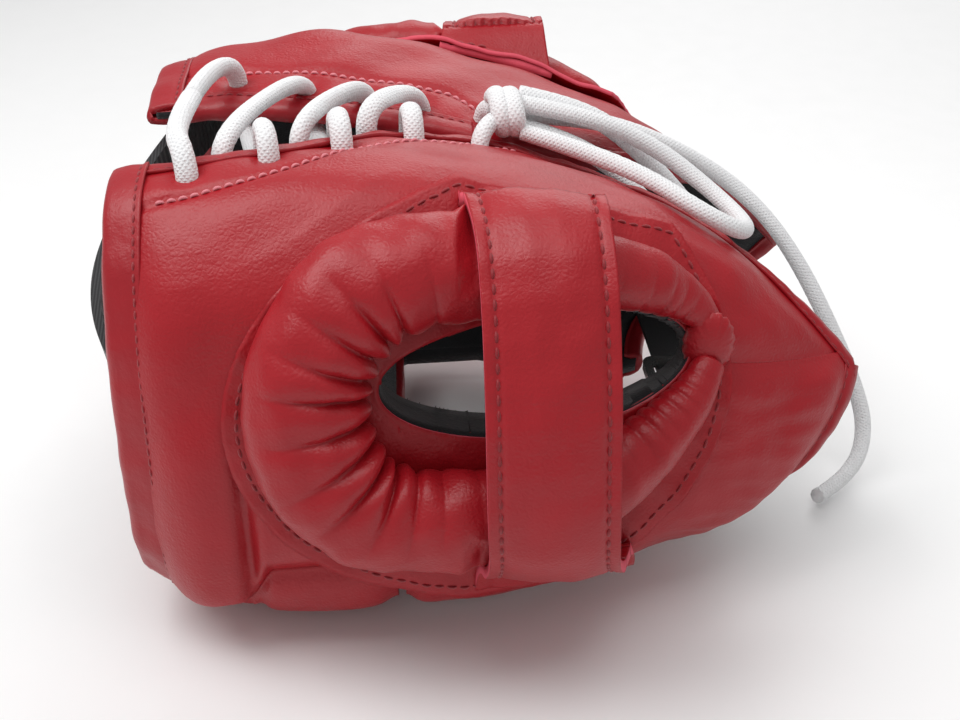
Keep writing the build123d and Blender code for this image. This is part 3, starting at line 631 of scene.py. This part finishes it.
# ---- ear rings ------------------------------------------------------------------------------
# A long cushion of gathered leather, stuffed firm and bent round each ear hole on the flange.
RING = [(165.5, 95.5, 4.5), (157, 103.5, 6.5), (141, 111, 9.5), (117, 117.5, 12.5), (90, 120.3, 14.5),
        (68.5, 115.3, 15.5), (56.2, 100, 16.2), (56.2, 80, 16.2), (68.5, 63.5, 15.4), (90, 57.6, 14.4),
        (117, 59.0, 13.6), (141, 67.5, 10.6), (157, 78, 7.4), (165.5, 87.5, 4.5)]
RING_RISE = 0.80


def smooth_line(points, n):
    "Curve through points, evenly spread."
    p = np.asarray(points, float)
    ext = np.vstack([2 * p[0] - p[1], p, 2 * p[-1] - p[-2]])
    fine = []
    for i in range(len(p) - 1):
        f = np.linspace(0, 1, 24, endpoint=False)[:, None]
        a, b, c, d = ext[i:i + 4]
        fine.append(0.5 * (2 * b + (c - a) * f + (2 * a - 5 * b + 4 * c - d) * f**2
                           + (3 * b - a - 3 * c + d) * f**3))
    fine = np.vstack(fine + [p[-1:]])
    far = travelled(fine, 0)
    at = np.linspace(0, far[-1], n)
    return np.column_stack([np.interp(at, far, fine[:, k]) for k in range(p.shape[1])])


stations = smooth_line(RING, 520)
foot, up = side_at(stations[:, 0], stations[:, 1])
foot_x, _ = side_at(stations[:, 0] + 1, stations[:, 1])
foot_z, _ = side_at(stations[:, 0], stations[:, 1] + 1)
up = np.cross(foot_x - foot, foot_z - foot)
up *= np.sign(up[:, 1:2])
up /= np.linalg.norm(up, axis=1)[:, None]
half = stations[:, 2] * 1.03
middle = foot + up * (1.5 + 0.85 * RING_RISE * half)[:, None]
ahead = np.gradient(middle, axis=0)
ahead /= np.linalg.norm(ahead, axis=1)[:, None]
up -= ahead * np.einsum("ij,ij->i", up, ahead)[:, None]
up /= np.linalg.norm(up, axis=1)[:, None]
outwards = np.cross(ahead, up)
towards_hole = np.array([117, 0, 93]) - middle
if np.einsum("ij,ij->i", outwards, towards_hole).mean() > 0:
    outwards = -outwards
phi = np.linspace(0, 2 * math.pi, 56, endpoint=False)
arc = travelled(middle, 0)
crown_end = np.clip((92 - middle[:, 0]) / 26, 0, 1)
chin_end = np.clip((middle[:, 0] - 138) / 14, 0, 1)
spacing = 11.0 - 1.0 * crown_end - 6.6 * chin_end + 1.6 * np.sin(arc / 11.0) + 1.1 * np.sin(arc / 4.7 + 1)
phase = np.cumsum(np.gradient(arc) / np.maximum(spacing, 2.6))
fold = np.abs(np.sin(math.pi * phase)) ** 0.55
inside = np.clip(0.5 - 0.62 * np.sin(phi), 0, 1)[None, :] ** 1.15
outside = np.clip(0.5 + 0.62 * np.sin(phi) - 0.45 * np.cos(phi), 0, 1)[None, :] ** 3
depth = ((0.45 + 4.6 * crown_end + 0.9 * chin_end)[:, None] * inside
         + (0.12 + 0.5 * chin_end)[:, None] * outside)
ring_out = (middle[:, None] + up[:, None] * (RING_RISE * half[:, None] * np.cos(phi))[..., None]
            + outwards[:, None] * (half[:, None] * np.sin(phi))[..., None])
radial = ring_out - middle[:, None]
radial /= np.linalg.norm(radial, axis=-1)[..., None]
slim = np.clip(half / 12, 0.35, 1)[:, None]
lumps = 0.9 * ripple(ring_out, 30, 31) + 0.35 * ripple(ring_out, 12, 32)
shrink = depth * (1 - fold)[:, None] * slim - lumps * slim
ring_out = ring_out - radial * shrink[..., None]
under = np.interp(ring_out[..., 2], [31, 41, 60, 82, 108, 131, 139], [84, 108, 119.5, 119.6, 111.5, 96.5, 76])
press = np.clip((24 - abs(ring_out[..., 0] - 118)) / 5, 0, 1)
ring_out[..., 1] = ring_out[..., 1] - press * np.maximum(ring_out[..., 1] - (under - 0.8), 0)


def tube_faces(rings, sides):
    "Faces of a tube with both ends closed."
    index = np.arange(rings * sides).reshape(rings, sides)
    index = np.hstack([index, index[:, :1]])
    quads = np.stack([index[:-1, :-1], index[1:, :-1], index[1:, 1:], index[:-1, 1:]], -1).reshape(-1, 4)
    return quads.tolist() + [index[0, :sides].tolist(), index[-1, :sides].tolist()[::-1]]


def facing_out(points, faces):
    "Turns the faces round if the closed form would be inside out."
    p = np.asarray(points)
    v = 0
    for f in faces:
        for k in range(1, len(f) - 1):
            v += np.dot(p[f[0]], np.cross(p[f[k]], p[f[k + 1]]))
    return faces if v > 0 else [f[::-1] for f in faces]

for side, word in ((-1, "left"), (1, "right")):
    turn = np.array([1, side, 1])
    points = (ring_out * turn).reshape(-1, 3)
    faces = facing_out(points - points.mean(0), tube_faces(len(ring_out), len(phi)))
    ring = make(f"{word}_ear_ring", points, faces, (red_leather,))
    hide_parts(f"{word}_ear_ring_cover", f"{word}_ear_ring_core")

# ---- ring pinches ---------------------------------------------------------------------------
# The ring's two gathered ends, bound together at the chin side.
for side, word in ((-1, "left"), (1, "right")):
    turn = np.array([1, side, 1])
    tip, tip_n = side_at(np.array([166.5]), np.array([91.5]))
    lat, lon = np.meshgrid(np.linspace(0.06, math.pi - 0.06, 26),
                           np.linspace(0, 2 * math.pi, 48, endpoint=False), indexing="ij")
    pleat = 1 + 0.10 * np.abs(np.sin(9 * lon))
    ball = np.stack([7.0 * np.sin(lat) * np.cos(lon) * pleat, 4.2 * np.cos(lat),
                     9.5 * np.sin(lat) * np.sin(lon) * pleat], -1)
    points = ((tip + tip_n * 4.0 + ball.reshape(-1, 3)) * turn)
    faces = facing_out(points - points.mean(0), tube_faces(26, 48))
    piece = make(f"{word}_ear_ring_pinch", points, faces, (red_leather,))
    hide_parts(f"{word}_ear_ring_pinch")

# ---- ear straps -----------------------------------------------------------------------------
# A padded strap with pale cut edges crosses each ring and is sewn down at both ends, over the
# flange's tab and below the hole.
STRAP_ARCH = [(-81, 140.5), (-100, 132), (-114.5, 108), (-122.5, 82), (-123, 60), (-111.5, 43)]
STRAP_HALF = 17.3
xs = np.linspace(-1, 1, 54)
strap_lines = []
for v in xs:
    x = 118 + v * STRAP_HALF
    ends_a, ends_b = wall(np.array([x, x]), np.array([1.92, 2.12]), 0, np.array([4.2, 6.0]))[0], \
        wall(np.array([x, x]), np.array([4.5, 4.74]), 0, np.array([7.4, 4.8]))[0]
    line = [(-p[1], p[2]) for p in ends_a] + STRAP_ARCH + [(-p[1], p[2]) for p in ends_b]
    strap_lines.append(smooth_line(line, 190))
strap_lines = np.array(strap_lines)                                   # across, along, (y, z)
along = np.linspace(0, 1, 190)
flare = 1 + 0.16 * np.exp(-(along / 0.12) ** 2) + 0.36 * np.exp(-((1 - along) / 0.13) ** 2)
lean = 4.5 * np.exp(-((1 - along) / 0.2) ** 2) - 2.0 * np.exp(-(along / 0.25) ** 2)
mid = np.concatenate([(117.5 + lean + xs[:, None] * STRAP_HALF * flare[None, :])[..., None], strap_lines], -1)
mid[..., 1] *= -1
d_along, d_across = np.gradient(mid, axis=1), np.gradient(mid, axis=0)
strap_n = np.cross(d_along, d_across)
strap_n *= np.sign(strap_n[..., 1:2] + strap_n[..., 2:3] * 0.3)
strap_n /= np.linalg.norm(strap_n, axis=-1)[..., None]
raised = (2.0 * np.clip((0.78 - abs(xs)) / 0.55, 0, 1)[:, None] ** 0.75
          * np.clip(np.minimum(along, 1 - along) / 0.09, 0, 1)[None, :] ** 0.6)
groove = -0.5 * np.exp(-((abs(xs) - 0.80) / 0.05) ** 2)[:, None]
strap_top = mid + strap_n * (1.6 + raised + groove + 0.3 * ripple(mid, 16, 41))[..., None]
strap_back = mid - strap_n * 1.6
line_at = {k: int(round((k + 1) / 2 * 53)) for k in (-0.80, 0.80)}

for side, word in ((-1, "left"), (1, "right")):
    turn = np.array([1, side, 1])
    points, faces, n_quads, n_sides = closed(strap_top * turn, strap_back * turn)
    cut = [0] * (2 * n_quads) + [1] * n_sides
    strap = make(f"{word}_ear_strap", points, faces, (red_leather, cut_edge), cut)
    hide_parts(f"{word}_ear_strap_face", f"{word}_ear_strap_back")
    for k, i in line_at.items():
        stitches(f"{word}_strap_stitches_{'a' if k < 0 else 'b'}", strap_top[i, 4:-4] * turn,
                 strap_n[i, 4:-4] * turn, 4.0, 0.5, thread)
    for end, j in (("back", 8), ("front", -9)):
        stitches(f"{word}_strap_stitches_{end}", strap_top[4:-4, j] * turn,
                 strap_n[4:-4, j] * turn, 4.0, 0.5, thread)

# ---- lacing ----------------------------------------------------------------------------------
# One braided cotton lace: two strands cross the gap through the punched holes, the knot sits at
# the tie, and the bow's two loops and the long end lie free over the neck edge.
cotton = material("cotton", (0.86, 0.86, 0.87), 0.95, sheen=0.35, specular=0.2, spots=0.06, spot_size=500,
                  bumps=(("noise", 2600, 0.3, 0.6),))


def braid(mat, yarns, pitch, height):
    "Adds crossing yarns to a lace material, by its map: once round in u, millimetres along in v."
    nodes, links = mat.node_tree.nodes, mat.node_tree.links
    chart = nodes.new("ShaderNodeUVMap")
    split = nodes.new("ShaderNodeSeparateXYZ")
    links.new(chart.outputs["UV"], split.inputs["Vector"])

    def sum_of(kind, a, b):
        node = nodes.new("ShaderNodeMath")
        node.operation = kind
        for socket, value in zip(node.inputs, (a, b)):
            if isinstance(value, (int, float)):
                socket.default_value = value
            else:
                links.new(value, socket)
        return node.outputs["Value"]

    around = sum_of("MULTIPLY", split.outputs["X"], math.pi * yarns)
    along = sum_of("MULTIPLY", split.outputs["Y"], math.pi / pitch)
    ridges = [sum_of("ABSOLUTE", sum_of("SINE", sum_of(kind, around, along), 0), 0)
              for kind in ("ADD", "SUBTRACT")]
    bump = nodes.new("ShaderNodeBump")
    bump.inputs["Strength"].default_value = 0.9
    bump.inputs["Distance"].default_value = height * MM
    links.new(sum_of("MAXIMUM", *ridges), bump.inputs["Height"])
    skin = nodes["Principled BSDF"]
    before = skin.inputs["Normal"].links[0].from_socket
    links.new(before, bump.inputs["Normal"])
    links.new(bump.outputs["Normal"], skin.inputs["Normal"])


braid(cotton, 10, 1.3, 0.3)
LACE_D = 6.4
LACE_OUT, LACE_IN, LACE_DEEP, LOW, HIGH = 4.4, 14.5, 25.5, 5.4, 12.4
BAR, BAR_LIFT = [(17, -40), (19, -14), (21, 12)], 3.0
RISE_A = [(29.0, -35.9), (61.8, -21.8), (70.5, -15.0)]
RISE_B = [(41.0, -32.4), (51.0, -29.5), (83.5, -6.6)]
KNOT = (114, 1, 8.6)
NEAR_LOOP = [(119, -6, LOW), (138, -14, 6), (156, -25, 6), (171, -38, 6), (184, -37, 6.5),
             (189, -21, 7), (181, -4, 9), (162, 3, 12.5), (138, 1.5, 14.5), (119, 1, HIGH)]
FAR_LOOP = [(119, 1, LOW), (137, 0.5, 5), (153, -2, -1), (172, -4, -13), (187, 0, -20),
            (192, 15, -17), (175, 13, -5), (158, 9.5, 6.5), (140, 8.2, 14), (119, 8, HIGH)]
LONG_END = [(119, 8, LOW), (140, 15.5, 7), (165, 21, 7), (190, 22, 7), (206, 16, 6)]
END_DOWN = [(218, 9, 76), (228, 1, 58), (239, -2, 37), (246, -8, 16), (238, -20, 4.2), (223, -30, 3.6)]


def top_z(x, y):
    "Height of the outer skin over a point of the plan."
    s = round_at(np.array([float(x)]), np.array([abs(float(y))]), 1, 0, 3)
    return float(wall(np.array([float(x)]), s)[0][0, 2])


def over_skin(x, y, height):
    "Point at a height over the outer skin."
    return (x, y, top_z(x, y) + height)


def spline_line(points):
    "Evenly spread points on the smooth spline that has the route's points as control points."
    curve = bpy.data.curves.new("route", "CURVE")
    curve.dimensions = "3D"
    curve.resolution_u = 24
    spline = curve.splines.new("NURBS")
    spline.points.add(len(points) - 1)
    for slot, p in zip(spline.points, points):
        slot.co = (*p, 1)
    spline.order_u = 3
    spline.use_endpoint_u = True
    holder = bpy.data.objects.new("route", curve)
    bpy.context.collection.objects.link(holder)
    mesh = bpy.data.meshes.new_from_object(holder)
    line = np.array([v.co for v in mesh.vertices])
    bpy.data.objects.remove(holder)
    bpy.data.meshes.remove(mesh)
    bpy.data.curves.remove(curve)
    far = travelled(line, 0)
    at = np.linspace(0, far[-1], int(far[-1] / 0.62))
    return np.column_stack([np.interp(at, far, line[:, k]) for k in range(3)])


def lace(name, line, nodes, sides=28):
    "Braided lace along a line: raised yarns wind both ways round a soft core."
    ahead = np.gradient(line, axis=0)
    ahead /= np.linalg.norm(ahead, axis=1)[:, None]
    up = [np.cross(ahead[0], (0.3, 0.9, 0.2))]
    for f in ahead:
        v = up[-1] - f * np.dot(up[-1], f)
        up.append(v / np.linalg.norm(v))
    up = np.array(up[1:])
    over = np.cross(ahead, up)
    theta = np.linspace(0, 2 * math.pi, sides, endpoint=False)
    far = travelled(line, 0)[:, None]
    one, two = 4 * theta[None, :] + 0.92 * far, 4 * theta[None, :] - 0.92 * far
    radius = LACE_D / 2 - 0.45 + 0.22 * np.maximum(np.abs(np.cos(one)), np.abs(np.cos(two)))
    squash = 0.03 * np.sin(far / 9 + 2 * theta[None, :]) - 0.07 * np.cos(2 * theta + 0.9)[None, :]
    radius = radius * (1 + squash)
    way = up[:, None] * np.cos(theta)[None, :, None] + over[:, None] * np.sin(theta)[None, :, None]
    points = (line[:, None] + way * radius[..., None]).reshape(-1, 3)
    faces = tube_faces(len(line), sides)
    piece = make(name, points, faces, (cotton,))
    chart = piece.data.uv_layers.new(name="lace")
    corner = np.zeros((len(piece.data.loops), 2))
    around, step = np.tile(np.arange(sides), len(line) - 1), np.repeat(np.arange(len(line) - 1), sides)
    for k, (more_a, more_s) in enumerate(((0, 0), (0, 1), (1, 1), (1, 0))):
        corner[k:4 * len(around):4, 0] = (around + more_a) / sides
        corner[k:4 * len(around):4, 1] = far[step + more_s, 0]
    chart.data.foreach_set("uv", corner.ravel())
    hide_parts(*nodes)
    return piece


order_a = [LEFT_HOLES[0], RIGHT_HOLES[1], LEFT_HOLES[2], RIGHT_HOLES[3]]
order_b = [RIGHT_HOLES[0], LEFT_HOLES[1], RIGHT_HOLES[2], LEFT_HOLES[3]]
bar_level = top_z(*LEFT_HOLES[0]) + LACE_OUT + BAR_LIFT
bar = [(x, y, bar_level) for x, y in BAR]
knot_z = top_z(KNOT[0], KNOT[1]) + KNOT[2]
for name, order, rises, start, last, depth in (
    ("lacing_strand_a", order_a, RISE_A, bar[0], LEFT_HOLES[4], LACE_IN),
    ("lacing_strand_b", order_b, RISE_B, bar[2], RIGHT_HOLES[4], LACE_DEEP),
):
    route = [bar[1], start, over_skin(*order[0], LACE_OUT), over_skin(*order[0], -LACE_IN)]
    for here, there, rise in zip(order, order[1:], rises):
        level = max(top_z(*here), top_z(*there), top_z(*rise))
        route += [(*rise, top_z(*here) - LACE_IN), (*rise, level + LACE_OUT),
                  over_skin(*there, LACE_OUT), over_skin(*there, -LACE_IN)]
    route[-1] = over_skin(*order[-1], -depth)
    route += [(last[0], last[1], route[-1][2]), over_skin(*last, LACE_OUT),
              (KNOT[0] - 3, KNOT[1] + (4 if last[1] > 0 else -4), knot_z - 1)]
    lace(name, spline_line(route), [name])

for name, route, lay, far_end in (
    ("bow_loop_near", [over_skin(*p) for p in NEAR_LOOP], "loose", "knot"),
    ("bow_loop_far", [over_skin(*p) for p in FAR_LOOP], "loose", "knot"),
    ("lace_long_end", [over_skin(*p) for p in LONG_END] + END_DOWN, "loose", "bare"),
):
    line = spline_line(route)
    piece = lace(name, line, [name])
    travelled(line, 0)[-1] * MM

# knot: the lace wrapped once and a half round the crossing
turns = np.linspace(0, 1.55 * 2 * math.pi, 60)
wrap = np.column_stack([KNOT[0] - 3.4 + 6.8 * turns / turns[-1], KNOT[1] + 8.0 * np.cos(turns + 0.6),
                        knot_z + 4.9 * np.sin(turns + 0.6)])
lace("lace_knot", smooth_line(wrap, 110), ["lace_knot"])

# ---- crown strap ------------------------------------------------------------------------------
# A flat woven band inside the crown opening. It keeps its built shape.
webbing = material("webbing", (0.022, 0.022, 0.024), 0.8, sheen=0.3, spots=0.2, spot_size=300,
                   bumps=(("wave", 320, 0.4, 0.7), ("noise", 1800, 0.2, 0.5)))


def dress(node, mat):
    "Gives a built piece its own material."
    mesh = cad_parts[node].data
    mesh.materials.clear()
    mesh.materials.append(mat)


dress("crown_strap", webbing)

# ---- chin strap -------------------------------------------------------------------------------
# Black leather between the cheeks, with a root sewn in each cheek, a keeper and the buckle's tab.
# All keep their built shape.
black_leather = material("black_leather", (0.018, 0.018, 0.019), 0.5, spots=0.15,
                         bumps=(("noise", 300, 0.6, 0.4), ("cells", 1100, 0.2, 0.5)))
for node in ("chin_strap", "buckle_tab", "strap_keeper", "left_chin_root", "right_chin_root"):
    dress(node, black_leather)

# ---- buckle -----------------------------------------------------------------------------------
# A nickel-plated frame and prong, held by the tab. They keep their built shape.
nickel = material("nickel", (0.72, 0.71, 0.69), 0.24, metal=1.0, spots=0.05,
                  bumps=(("noise", 700, 0.06, 0.3),))
for node in ("buckle_frame", "buckle_prong"):
    dress(node, nickel)
